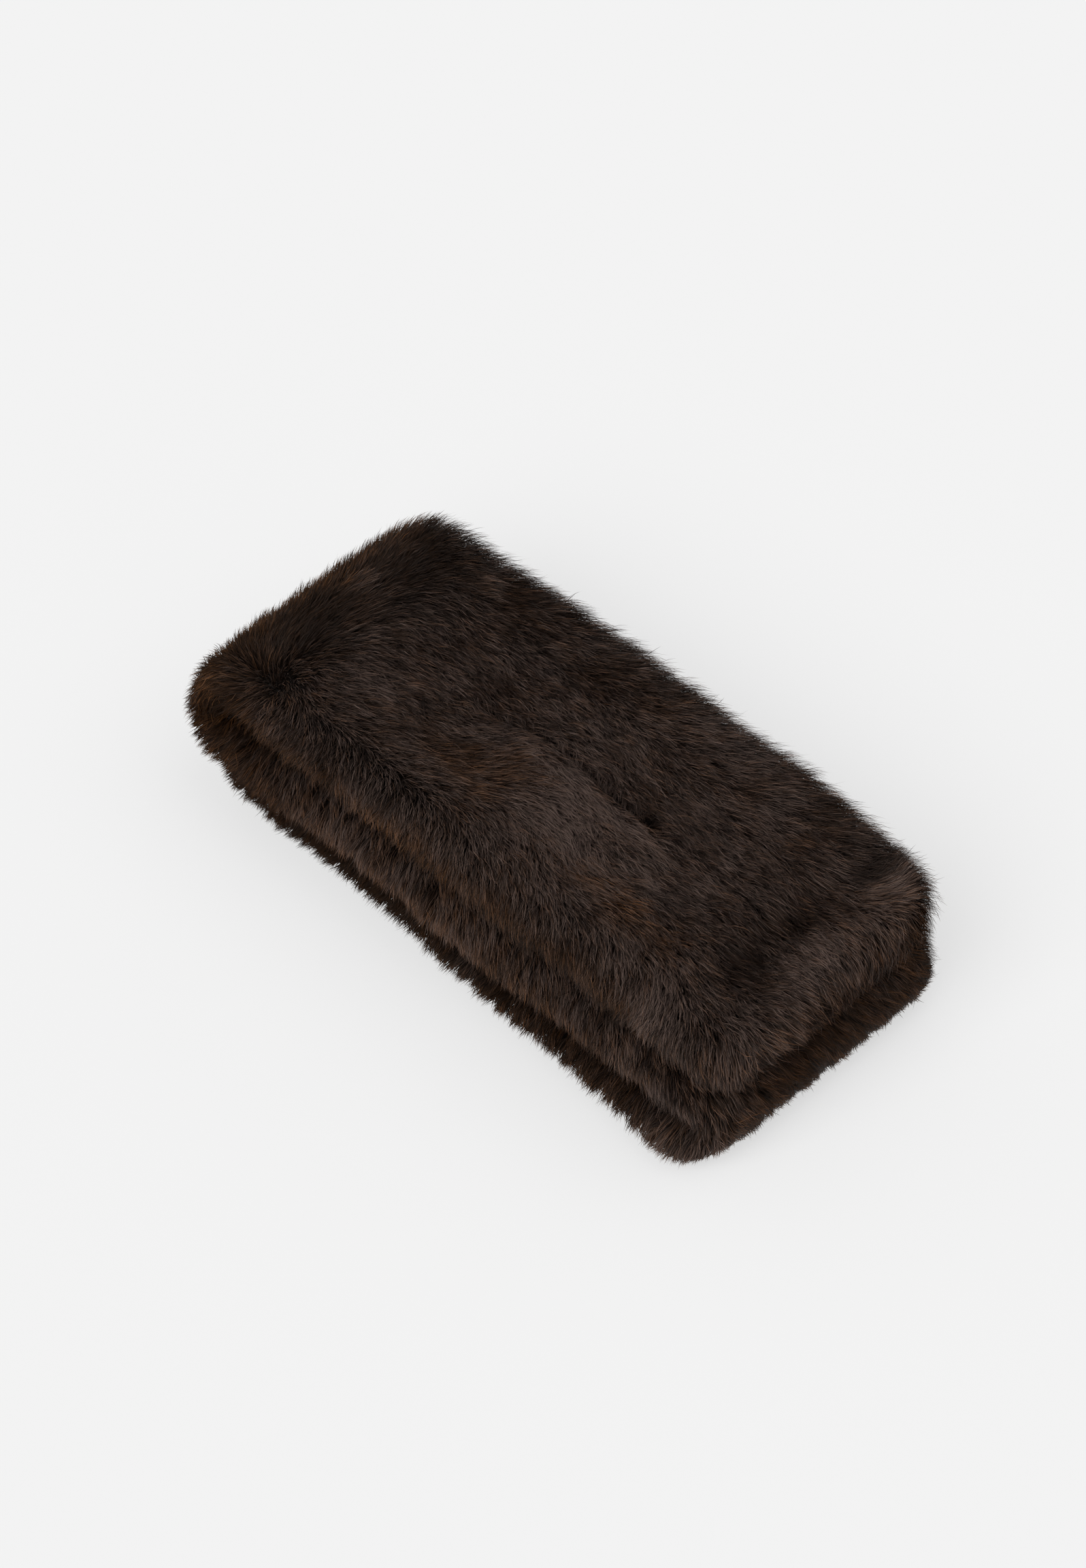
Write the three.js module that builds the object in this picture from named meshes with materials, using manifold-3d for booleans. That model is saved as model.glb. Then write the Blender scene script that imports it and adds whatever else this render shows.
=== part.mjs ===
// A fur collar wrap: one long strip of plush fur, the same on both faces, folded in three and laid down.
// Millimetres, +Z up. X runs along the folded strip, Y across it, and Z = 0 is the surface it lies on, with
// the origin under the middle of the whole outline.
// The strip starts at its free end on top, turns under at the left, turns back at the right, and ends
// below. Each stretch, up to half way round a turn, is one mesh that reaches as far as the pile does.
import * as THREE from "three";
import Module from "manifold-3d";

const wasm = await Module();
wasm.setup();

// Folded size, over the tips of the pile.
const FOLDED_LENGTH = 330;
const SEAM_GAP = 0.3; // between the layers that lie on each other, and where two stretches meet

// Thickness of each layer as it lies, pile on both faces. The lower ones are pressed by what lies on them.
const TOP_THICKNESS = 31;
const MIDDLE_THICKNESS = 26;
const BOTTOM_THICKNESS = 26;

// Rounded forms.
const SIDE_ROUND = 19; // how far in from the long edges the sides start to round off
const CROWN = 2; // how much higher the face on top is along its middle
const TOP_END_CORNERS = { near: 14, far: 32 }; // corner radii of the free end on top, seen from above
const BOTTOM_END_CORNERS = { near: 22, far: 30 }; // and of the hidden one below
const END_EDGE = 2; // height of the blunt edge that a free end closes to
const TURN_REACH = 0.86; // how far a turn reaches out, as a share of the layer's thickness
const TURN_EYE = 1.2; // radius of the small eye inside a turn
const LEFT_TURN_CORNERS = { near: 2, far: 12 }; // how far the edges draw in round each turn
const RIGHT_TURN_CORNERS = { near: 6, far: 7 };
const LEFT_SLANT = 0.5; // how much further out the left end reaches along its near edge than in the middle
const RIGHT_SLANT = 3; // and the right end

// Where things lie along X.
const LEFT_TURN = -FOLDED_LENGTH / 2 + ((TOP_THICKNESS + MIDDLE_THICKNESS) / 2) * TURN_REACH;
const RIGHT_TURN = FOLDED_LENGTH / 2 - 3 - ((MIDDLE_THICKNESS + BOTTOM_THICKNESS) / 2) * TURN_REACH;
const TOP_END = FOLDED_LENGTH / 2 - 1.5; // the free end on top stops just short of the turn below it
const TOP_END_SAG = 6; // and sags over the shoulder of that turn
const BOTTOM_END = -FOLDED_LENGTH / 2 + 10; // the hidden free end stops short of the turn above it

// Steps of the mesh: across the upper and lower side of each layer, and the spacing along the strip.
const STEPS = {
  top: { across: 30, under: 6, spacing: 7 },
  middle: { across: 10, under: 10, spacing: 10 },
  bottom: { across: 10, under: 10, spacing: 10 },
};
const SIDE_STEPS = 10; // round each long edge
const END_STEPS = 7;
const TURN_STEPS = 6;

// The surfaces that the layers meet in, the face on top and the long edges waver along the strip.
const WAVERS = {
  top: [
    { height: 1.2, period: 236, phase: 0.4 },
    { height: 0.5, period: 97, phase: 2.1 },
  ],
  upperSeam: [
    { height: 0.9, period: 190, phase: 1.3 },
    { height: 0.5, period: 74, phase: 0.2 },
  ],
  lowerSeam: [
    { height: 0.8, period: 210, phase: 3.0 },
    { height: 0.4, period: 66, phase: 1.1 },
  ],
  edge: [
    { height: 0.8, period: 128, phase: 0.8 },
    { height: 0.3, period: 47, phase: 2.6 },
  ],
};

// Where each layer's near edge (-Y) and far edge (+Y) lie at the left and right ends of the folded strip.
const EDGES = {
  top: { nearLeft: -76, nearRight: -76, farLeft: 68, farRight: 74 },
  middle: { nearLeft: -77, nearRight: -80, farLeft: 68, farRight: 78 },
  bottom: { nearLeft: -71, nearRight: -82, farLeft: 68, farRight: 75 },
};

// Soft troughs and ridges of the face on top, each along a straight line from one point to another.
const FACE_FORMS = [
  { name: "slit valley", x0: -20, y0: 2, x1: 54, y1: 0, spread: 7, height: -6.5 },
  { name: "lip beside the slit", x0: -8, y0: -17, x1: 42, y1: -18, spread: 13, height: 3.2 },
  { name: "hollow past the lip", x0: 60, y0: -26, x1: 92, y1: -34, spread: 13, height: -2.4 },
  { name: "parting along the near edge", x0: -112, y0: -50, x1: 30, y1: -52, spread: 9, height: -2.4 },
  { name: "parting inside the free end", x0: 134, y0: -42, x1: 128, y1: 30, spread: 10, height: -2.8 },
  { name: "dimple by the far corner", x0: 122, y0: 46, x1: 136, y1: 48, spread: 9, height: -3.2 },
  { name: "hollow in the left half", x0: -70, y0: -12, x1: -34, y1: -24, spread: 22, height: -2 },
];

// The pull-through slit in the layer on top, shut as it lies: its lips almost touch.
const SLIT = { x: 17, y: 1, length: 76, width: 1.6 };

const lerp = (a, b, share) => a + (b - a) * share;
const along = (x) => (x + FOLDED_LENGTH / 2) / FOLDED_LENGTH;

function waver(rows, x) {
  return rows.reduce((sum, r) => sum + r.height * Math.sin((2 * Math.PI * x) / r.period + r.phase), 0);
}

const lowerSeam = (x) => BOTTOM_THICKNESS + waver(WAVERS.lowerSeam, x);
const upperSeam = (x) => BOTTOM_THICKNESS + MIDDLE_THICKNESS + waver(WAVERS.upperSeam, x);
const topFace = (x) => BOTTOM_THICKNESS + MIDDLE_THICKNESS + TOP_THICKNESS + waver(WAVERS.top, x);

// How far the free end on top has sagged at x.
function sag(x) {
  return TOP_END_SAG * Math.max(0, (x - RIGHT_TURN) / (TOP_END - RIGHT_TURN)) ** 2;
}

// The surfaces that bound each layer from below and from above.
const LAYERS = {
  top: {
    low: (x) => upperSeam(x) + SEAM_GAP / 2 - sag(x),
    high: (x) => topFace(x) - sag(x),
    thickness: TOP_THICKNESS,
  },
  middle: {
    low: (x) => lowerSeam(x) + SEAM_GAP / 2,
    high: (x) => upperSeam(x) - SEAM_GAP / 2,
    thickness: MIDDLE_THICKNESS,
  },
  bottom: { low: () => 0, high: (x) => lowerSeam(x) - SEAM_GAP / 2, thickness: BOTTOM_THICKNESS },
};

// How much the face on top stands above its even height at a point.
function faceLift(x, y) {
  let lift = CROWN * Math.cos((Math.PI * y) / (EDGES.top.farLeft - EDGES.top.nearLeft));
  for (const form of FACE_FORMS) {
    const run = new THREE.Vector2(form.x1 - form.x0, form.y1 - form.y0);
    const to = new THREE.Vector2(x - form.x0, y - form.y0);
    const share = THREE.MathUtils.clamp(to.dot(run) / run.lengthSq(), 0, 1);
    const away = to.distanceTo(run.multiplyScalar(share));
    lift += form.height * Math.exp(-((away / form.spread) ** 2));
  }
  return lift;
}

// The two long edges of a layer at x.
function edgesAt(layer, x) {
  const row = EDGES[layer];
  return {
    near: lerp(row.nearLeft, row.nearRight, along(x)) - waver(WAVERS.edge, x),
    far: lerp(row.farLeft, row.farRight, along(x)) + waver(WAVERS.edge, x + FOLDED_LENGTH / 5),
  };
}

// Where a point that is y across the strip lies along X, with the slant of the ends.
function slanted(x, y) {
  const slant = x < 0 ? LEFT_SLANT : -RIGHT_SLANT;
  return x + ((slant * y) / EDGES.top.farRight) * (x / (FOLDED_LENGTH / 2)) ** 2;
}

// One closed ring round the strip. A station gives its long edges, half its thickness, the lift of its
// upper face, and the place of a point that is y across the strip and n up from its middle.
function ringOf({ layer, near, far, half, lift, place }) {
  const { across, under } = STEPS[layer];
  const round = Math.min(SIDE_ROUND, (far - near) / 2 - 1);
  const flatNear = near + round;
  const flatFar = far - round;
  const ring = [];
  const add = (y, n) => ring.push(place(y, n + lift(y) * Math.max(0, n / half)));
  for (let i = 0; i <= across; i++) add(lerp(flatFar, flatNear, i / across), half);
  for (let i = 1; i < SIDE_STEPS; i++) {
    const angle = Math.PI / 2 - (Math.PI * i) / SIDE_STEPS;
    add(flatNear - round * Math.cos(angle), half * Math.sin(angle));
  }
  for (let i = 0; i <= under; i++) add(lerp(flatNear, flatFar, i / under), -half);
  for (let i = 1; i < SIDE_STEPS; i++) {
    const angle = -Math.PI / 2 + (Math.PI * i) / SIDE_STEPS;
    add(flatFar + round * Math.cos(angle), half * Math.sin(angle));
  }
  return ring;
}

const noLift = () => 0;

// A station on a level stretch. At a free end, shrink takes its thickness away and its edges draw in.
function levelStation(layer, x, { freeEnd, corners, shrink = 1, lift }) {
  const { low, high } = LAYERS[layer];
  const { near, far } = edgesAt(layer, x);
  const drawnIn = (corner) => {
    const into = Math.max(0, corner - Math.abs(freeEnd - x));
    return corner - Math.sqrt(corner ** 2 - into ** 2);
  };
  const middle = (low(x) + high(x)) / 2;
  return {
    layer,
    near: freeEnd === undefined ? near : near + drawnIn(corners.near),
    far: freeEnd === undefined ? far : far - drawnIn(corners.far),
    half: ((high(x) - low(x)) / 2) * shrink,
    lift: lift ? (y) => lift(x, y) * shrink : noLift,
    place: (y, n) => new THREE.Vector3(slanted(x, y), y, middle + n),
  };
}

// The level stations from one x to another.
function levelRun(layer, from, to, options) {
  const steps = Math.ceil(Math.abs(to - from) / STEPS[layer].spacing);
  const stations = [];
  for (let i = 0; i <= steps; i++) stations.push(levelStation(layer, lerp(from, to, i / steps), options));
  return stations;
}

// The stations that round a free end off, from the end of the level run outwards.
function freeEndRun(layer, way, end) {
  const reach = LAYERS[layer].thickness / 2;
  const least = END_EDGE / 2 / reach;
  const stations = [];
  for (let i = 1; i <= END_STEPS; i++) {
    const angle = (Math.acos(least) * i) / END_STEPS;
    const x = end.freeEnd - way * reach * (1 - Math.sin(angle));
    stations.push(levelStation(layer, x, { ...end, shrink: Math.cos(angle) }));
  }
  return stations;
}

// Half of a turn, from the level stretch round to the outermost point. Its axis lies across the strip in
// the seam between the layer above and the layer below, and side is 1 for the upper half, -1 for the lower.
function turnRun({ x, way, side, above, below, seam, corners, lift }) {
  const layer = side > 0 ? above : below;
  const own = LAYERS[layer].high(x) - LAYERS[layer].low(x);
  const outermost = (LAYERS[above].high(x) - LAYERS[below].low(x) - SEAM_GAP) / 2;
  const axis = seam(x) + (side * SEAM_GAP) / 2;
  const edges = edgesAt(layer, x);
  const upper = edgesAt(above, x);
  const lower = edgesAt(below, x);
  const stations = [];
  for (let i = 1; i <= TURN_STEPS; i++) {
    const angle = (Math.PI / 2) * (1 - i / TURN_STEPS);
    const share = Math.cos(angle) ** 2;
    const outer = lerp(own, outermost, share);
    const inner = TURN_EYE * share;
    const radius = (outer + inner) / 2;
    stations.push({
      layer,
      near: lerp(edges.near, (upper.near + lower.near) / 2, share) + corners.near * share,
      far: lerp(edges.far, (upper.far + lower.far) / 2, share) - corners.far * share,
      half: (outer - inner) / 2,
      lift: lift ? (y) => lift(x, y) * (1 - share) : noLift,
      place: (y, n) =>
        new THREE.Vector3(
          slanted(x + way * TURN_REACH * (radius + side * n) * Math.cos(angle), y),
          y,
          axis + side * (radius + side * n) * Math.sin(angle),
        ),
    });
  }
  return stations;
}

const LEFT = {
  x: LEFT_TURN,
  way: -1,
  above: "top",
  below: "middle",
  seam: upperSeam,
  corners: LEFT_TURN_CORNERS,
};
const RIGHT = {
  x: RIGHT_TURN,
  way: 1,
  above: "middle",
  below: "bottom",
  seam: lowerSeam,
  corners: RIGHT_TURN_CORNERS,
};

// Joins a run of stations into one closed skin. The two ends are closed by fans of faces.
function skinOf(stations) {
  const rings = stations.map(ringOf);
  const count = rings[0].length;
  const positions = rings.flat().flatMap((p) => p.toArray());
  const faces = [];
  for (let r = 0; r + 1 < rings.length; r++) {
    for (let i = 0; i < count; i++) {
      const a = r * count + i;
      const b = r * count + ((i + 1) % count);
      faces.push(a, b, a + count, b, b + count, a + count);
    }
  }
  const closeEnd = (start, flip) => {
    const ring = rings[start / count];
    const middle = ring.reduce((sum, p) => sum.add(p), new THREE.Vector3()).divideScalar(count);
    const centre = positions.length / 3;
    positions.push(...middle.toArray());
    for (let i = 0; i < count; i++) {
      const a = start + i;
      const b = start + ((i + 1) % count);
      faces.push(centre, ...(flip ? [b, a] : [a, b]));
    }
  };
  closeEnd(0, true);
  closeEnd((rings.length - 1) * count, false);
  const geometry = new THREE.BufferGeometry();
  geometry.setAttribute("position", new THREE.Float32BufferAttribute(positions, 3));
  geometry.setIndex(faces);
  return geometry;
}

// A closed geometry as a solid, with the vertices that its faces share merged.
function solidOf(geometry) {
  const flat = geometry.index ? geometry.toNonIndexed() : geometry;
  const corners = flat.getAttribute("position");
  const found = new Map();
  const vertices = [];
  const triangles = [];
  for (let i = 0; i < corners.count; i++) {
    const corner = [corners.getX(i), corners.getY(i), corners.getZ(i)];
    const key = corner.map((c) => c.toFixed(4)).join();
    if (!found.has(key)) {
      found.set(key, vertices.length / 3);
      vertices.push(...corner);
    }
    triangles.push(found.get(key));
  }
  const vertProperties = Float32Array.from(vertices);
  const triVerts = Uint32Array.from(triangles);
  return new wasm.Manifold(new wasm.Mesh({ numProp: 3, vertProperties, triVerts }));
}

function geometryOf(solid) {
  const mesh = solid.getMesh();
  const geometry = new THREE.BufferGeometry();
  geometry.setAttribute("position", new THREE.BufferAttribute(mesh.vertProperties, mesh.numProp));
  geometry.setIndex(new THREE.BufferAttribute(mesh.triVerts, 1));
  return geometry;
}

// Cuts the shut slit through a layer: seen from above, a slim lens that is pointed at both ends.
function withSlit(geometry) {
  const lens = new THREE.Shape();
  lens.moveTo(-SLIT.length / 2, 0);
  lens.quadraticCurveTo(0, SLIT.width, SLIT.length / 2, 0);
  lens.quadraticCurveTo(0, -SLIT.width, -SLIT.length / 2, 0);
  const depth = 3 * TOP_THICKNESS;
  const cutter = new THREE.ExtrudeGeometry(lens, { depth, bevelEnabled: false, curveSegments: 8 });
  cutter.translate(SLIT.x, SLIT.y, BOTTOM_THICKNESS);
  return geometryOf(solidOf(geometry).subtract(solidOf(cutter)));
}

function topStretch() {
  const end = { freeEnd: TOP_END, corners: TOP_END_CORNERS, lift: faceLift };
  const skin = skinOf([
    ...turnRun({ ...LEFT, side: 1, lift: faceLift }).reverse(),
    ...levelRun("top", LEFT_TURN, TOP_END - TOP_THICKNESS / 2, end),
    ...freeEndRun("top", 1, end),
  ]);
  return withSlit(skin);
}

function middleStretch() {
  return skinOf([
    ...turnRun({ ...LEFT, side: -1 }).reverse(),
    ...levelRun("middle", LEFT_TURN, RIGHT_TURN, {}),
    ...turnRun({ ...RIGHT, side: 1 }),
  ]);
}

function bottomStretch() {
  const end = { freeEnd: BOTTOM_END, corners: BOTTOM_END_CORNERS };
  return skinOf([
    ...freeEndRun("bottom", -1, end).reverse(),
    ...levelRun("bottom", BOTTOM_END + BOTTOM_THICKNESS / 2, RIGHT_TURN, end),
    ...turnRun({ ...RIGHT, side: -1 }),
  ]);
}

const STRETCHES = [
  { name: "top_stretch", make: topStretch, colour: 0x2d231f },
  { name: "middle_stretch", make: middleStretch, colour: 0x2a201c },
  { name: "bottom_stretch", make: bottomStretch, colour: 0x211812 },
];

const wrap = new THREE.Group();
for (const { name, make, colour } of STRETCHES) {
  const geometry = make();
  geometry.computeVertexNormals();
  const fur = new THREE.MeshStandardMaterial({ color: colour, roughness: 0.9, metalness: 0 });
  const mesh = new THREE.Mesh(geometry, fur);
  mesh.name = name;
  wrap.add(mesh);
}

// The edges waver, so the outline's middle is found from the finished pieces and brought over the origin.
const outline = new THREE.Box3().setFromObject(wrap);
wrap.position.set(-(outline.min.x + outline.max.x) / 2, -(outline.min.y + outline.max.y) / 2, 0);

export default wrap;
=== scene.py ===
"""A folded fur collar wrap: the cloth of each stretch, the pile that grows on it, and its stage."""

import math
from functools import reduce

import bpy
import numpy as np
from bpy.props import FloatProperty, FloatVectorProperty, PointerProperty
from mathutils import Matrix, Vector


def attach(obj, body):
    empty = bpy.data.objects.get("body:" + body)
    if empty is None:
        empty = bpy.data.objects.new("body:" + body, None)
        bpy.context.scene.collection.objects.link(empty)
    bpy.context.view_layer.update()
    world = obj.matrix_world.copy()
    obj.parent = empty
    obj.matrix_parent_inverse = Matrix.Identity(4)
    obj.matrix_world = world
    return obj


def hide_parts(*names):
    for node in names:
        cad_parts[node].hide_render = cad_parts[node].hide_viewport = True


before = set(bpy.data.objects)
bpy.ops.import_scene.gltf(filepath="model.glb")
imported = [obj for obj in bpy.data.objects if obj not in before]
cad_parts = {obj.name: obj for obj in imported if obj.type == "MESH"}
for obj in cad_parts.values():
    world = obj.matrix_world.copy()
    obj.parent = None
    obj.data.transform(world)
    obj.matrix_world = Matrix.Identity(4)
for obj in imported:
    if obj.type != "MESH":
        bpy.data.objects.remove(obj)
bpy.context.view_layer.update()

bl_info = {
    "name": "Folded fur collar wrap",
    "version": (1, 0, 0),
    "blender": (4, 5, 0),
    "location": "3D View > Sidebar > Fur wrap",
    "description": "Builds the cloth, the pile and the stage of a fur scarf that is folded in three",
    "category": "Object",
}

# The folded form over the tips of the pile, in metres.
FOLDED_LENGTH = 0.330
SEAM_GAP = 0.0003
THICKNESS = {"top": 0.031, "middle": 0.026, "bottom": 0.026}
SIDE_ROUND = 0.019
CROWN = 0.002
LEFT_SLANT = 0.0015
RIGHT_SLANT = -0.0002
TOP_END_SAG = 0.006
NOSE_EDGE = 0.002
# The turns: their reach as a share of half their height, the eye in them, and for the right one how
# strongly its upper half draws in under the free end and how far inside the whole length it is.
TURN_REACH = 0.86
TURN_EYE = 0.0012
PINCH = 1.4
TURN_INSET = 0.0038
LEFT_TURN = -FOLDED_LENGTH / 2 + (THICKNESS["top"] + THICKNESS["middle"]) / 2 * TURN_REACH
RIGHT_TURN = FOLDED_LENGTH / 2 - TURN_INSET - (THICKNESS["middle"] + THICKNESS["bottom"]) / 2 * TURN_REACH
# The free ends: the one on top is just short of the whole length, and the hidden one is further inside.
FREE_END = {"top": FOLDED_LENGTH / 2 - 0.0015, "bottom": -FOLDED_LENGTH / 2 + 0.010}
END_CORNERS = {"top": {"near": 0.014, "far": 0.027}, "bottom": {"near": 0.022, "far": 0.030}}
TURN_CORNERS = {"left": {"near": -0.001, "far": 0.012}, "right": {"near": 0.006, "far": 0.007}}
# By what share the lower half of the free end on top is thinner, away from its near corner, and how far
# before the right turn that sets in.
END_THINNING = 0.42
THINNING_START = 0.012

# Slow waves along the strip: height, period and phase.
WAVERS = {
    "top": [(0.0012, 0.236, 0.4), (0.0005, 0.097, 2.1)],
    "upper_seam": [(0.0009, 0.190, 1.3), (0.0005, 0.074, 0.2)],
    "lower_seam": [(0.0008, 0.210, 3.0), (0.0004, 0.066, 1.1)],
    "edge": [(0.0008, 0.128, 0.8), (0.0003, 0.047, 2.6)],
}

# How much higher the seams lie at the left turn.
SEAM_RISE = {"upper_seam": 0.0032, "lower_seam": 0.0036}

# The near and far long edges of each layer, at the left and right ends of the strip.
EDGES = {
    "top": {"near": (-0.0752, -0.076), "far": (0.0685, 0.070)},
    "middle": {"near": (-0.083, -0.080), "far": (0.068, 0.076)},
    "bottom": {"near": (-0.072, -0.0862), "far": (0.068, 0.074)},
}

# How much further towards the far side a long edge lies half way along.
BULGES = {("top", "far"): 0.0050, ("bottom", "near"): 0.0020}

# Soft troughs and ridges of the face on top: from a point to a point, how far they spread, how high.
# One with a far spread is steeper on its far side.
FACE_FORMS = {
    "slit_lip": {
        "line": (-0.022, -0.008, 0.052, -0.0105),
        "spread": 0.017,
        "far_spread": 0.0038,
        "height": 0.0030,
    },
    "slit_valley": {"line": (0.026, -0.0045, 0.054, -0.0055), "spread": 0.003, "height": -0.0011},
    "hollow_past_lip": {"line": (0.060, -0.026, 0.092, -0.034), "spread": 0.013, "height": -0.0024},
    "near_parting": {"line": (-0.112, -0.058, 0.000, -0.058), "spread": 0.009, "height": -0.0016},
    "left_dimple": {"line": (-0.120, -0.056, -0.108, -0.060), "spread": 0.009, "height": -0.0008},
    "end_parting": {"line": (0.125, -0.034, 0.123, 0.030), "spread": 0.009, "height": -0.0025},
    "far_dimple": {"line": (0.122, 0.046, 0.136, 0.048), "spread": 0.009, "height": -0.0032},
    "left_hollow": {"line": (-0.070, -0.012, -0.034, -0.024), "spread": 0.022, "height": -0.002},
}
# The slit's line, how deep and how wide its cleft in the cloth is, and how far from it the face has
# points of its own, with how much more room they keep.
SLIT_LINE = (-0.019, -0.0046, 0.056, -0.0056)
SLIT_DEPTH = 0.0014
SLIT_SPREAD = 0.0013
SLIT_STEPS = (-0.006, -0.0035, -0.0018, 0.0, 0.0018, 0.0035, 0.006)
SLIT_MARGIN = 0.001

# Each stretch: the CAD node that it replaces, and whether its left and right ends are the upper or the
# lower half of a turn, or free.
STRETCHES = {
    "top": {"node": "top_stretch", "left": "upper", "right": "free"},
    "middle": {"node": "middle_stretch", "left": "lower", "right": "upper"},
    "bottom": {"node": "bottom_stretch", "left": "free", "right": "lower"},
}
TURNS = {
    "left": {"x": LEFT_TURN, "way": -1, "above": "top", "below": "middle", "seam": "upper_seam"},
    "right": {"x": RIGHT_TURN, "way": 1, "above": "middle", "below": "bottom", "seam": "lower_seam"},
}

# How finely each stretch of cloth is divided.
CLOTH_STEPS = {
    "top": {"across": 26, "under": 8, "spacing": 0.004},
    "middle": {"across": 9, "under": 9, "spacing": 0.008},
    "bottom": {"across": 9, "under": 9, "spacing": 0.008},
}
SIDE_STEPS = 11
NOSE_STEPS = 7
TURN_STEPS = 8
TURN_OVERLAP = 3

# Where a change sets in and where it is full: along X, away from the slit, above the floor, by how far a
# surface faces up, and by how far a place swings out to the far side.
FADES = {
    "seam_rise": (0.010, -0.090),
    "slit_cleft": (0.024, 0.046),
    "slit_bared": (0.022, 0.034),
    "slit_trim": (0.014, 0.030),
    "left_swirl": (-0.110, -0.135),
    "right_end": (0.080, 0.135),
    "bared_edge": (0.0010, 0.0004),
    "floor": (0.020, 0.004),
    "shoulder": (0.98, 0.45),
    "under_roll": (0.35, -0.35),
    "far_side_trim": (0.3, 0.9),
    "far_side_warmth": (0.2, 0.8),
}

# The kinds of rings on which the upper face and the under face of a layer show, how far in from a rolled
# edge the pile still grows between two layers, and how densely it grows where the wrap rests.
SHOWN_ON = {
    "top": {"upper": ("level", "nose", "left_turn"), "under": ("nose",)},
    "middle": {"upper": ("right_turn",), "under": ("left_turn",)},
    "bottom": {"upper": ("nose",), "under": ("right_turn", "nose")},
}
HIDDEN_FRINGE = 0.012
LEAST_COVER = {("bottom", "under"): 0.22}
# By what share the strands are shorter at some places, how far from the slit they are, and what share of
# that is left on its near side.
TRIMS = {"slit": 0.20, "left_swirl": 0.30, "left_turn": 0.20, "floor": 0.35, "far_side": 0.10}
SLIT_TRIM_REACH = 0.005
SLIT_NEAR_SHARE = 0.3

# Places round a ring, by quarter: 0 to 1 across the upper face from far to near, to 2 down the near side,
# to 3 back under, and to 4 up the far side.
COMB_PLACES = (0.0, 0.25, 0.5, 0.75, 0.92, 1.08, 1.5, 2.0, 3.0, 3.5)
# Which way the pile is combed at those places, in degrees from the way that the strip runs, by distance
# along X. 0 runs on along the strip from its left end, and -90 falls down the near side.
COMB_ROWS = {
    "top": {
        -0.166: (60, 80, 86, 92, 116, 184, -126, -150, 90, 64),
        -0.150: (50, 82, 84, 88, 114, 188, -116, -112, 90, 64),
        -0.134: (27, 82, 66, 70, 118, 214, -110, -105, 90, 64),
        -0.117: (0, 12, 26, 20, -14, -78, -106, -100, 90, 64),
        -0.100: (8, -20, -8, 2, 6, -70, -106, -98, 90, 60),
        -0.075: (12, -22, -18, -8, 6, -66, -104, -96, 90, 58),
        -0.050: (14, -22, -20, 6, 18, -64, -100, -95, 90, 58),
        -0.022: (16, -22, -2, 26, -2, -62, -96, -92, 90, 56),
        -0.004: (16, -22, -20, -2, -24, -58, -94, -90, 90, 56),
        0.016: (16, -22, -24, -24, -34, -46, -76, -84, 90, 56),
        0.036: (16, -20, -22, -22, -24, -50, -86, -88, 90, 54),
        0.056: (18, -14, -20, -12, -10, -48, -82, -88, 90, 54),
        0.090: (20, -8, -6, -14, -26, -48, -78, -86, 90, 52),
        0.115: (20, -4, -10, -14, -28, -48, -76, -84, 90, 50),
        0.132: (22, 16, -12, -8, -14, -48, -72, -80, 60, 40),
        0.143: (20, 4, -4, 16, -4, -42, -64, -70, 40, 30),
        0.155: (12, 4, 2, 0, -10, -34, -52, -50, 30, 20),
        0.164: (8, 6, 4, 2, -6, -24, -36, -20, 10, 10),
    },
    "middle": {
        -0.166: (0, 0, 0, 0, 0, -20, -30, 180, 180, 30),
        -0.140: (0, 0, 0, 0, -30, -90, -116, 180, 180, 90),
        -0.100: (0, 0, 0, 0, -30, -64, -86, -90, 90, 90),
        0.000: (0, 0, 0, 0, -30, -52, -72, -90, 90, 90),
        0.110: (0, 0, 0, 0, -30, -50, -68, -90, 90, 90),
        0.138: (30, 20, 10, 0, -10, -26, -40, -60, 60, 60),
        0.164: (42, 34, 30, 28, 26, 22, 20, 10, 0, -10),
    },
    "bottom": {
        -0.153: (180, 180, 180, 180, 180, 190, 225, 180, 180, 135),
        -0.120: (0, 0, 0, 0, -30, -90, -112, -120, 120, 90),
        0.000: (0, 0, 0, 0, -30, -80, -98, -100, 100, 90),
        0.120: (0, 0, 0, 0, -30, -80, -86, -90, 90, 90),
        0.140: (0, 0, 0, 0, -60, -100, -112, -120, 120, 110),
        0.164: (180, 180, 180, 180, 190, -150, -154, -154, -150, -160),
    },
}

# Where the pile swirls: middle, reach and by how many degrees it is turned there. Surfaces that face
# further down than the lowest don't swirl.
WHORLS = (
    ((0.138, 0.046), 0.011, 84),
    ((0.110, -0.072), 0.012, -34),
    ((-0.070, -0.074), 0.013, 26),
)
WHORL_LOWEST = -0.3

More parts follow.
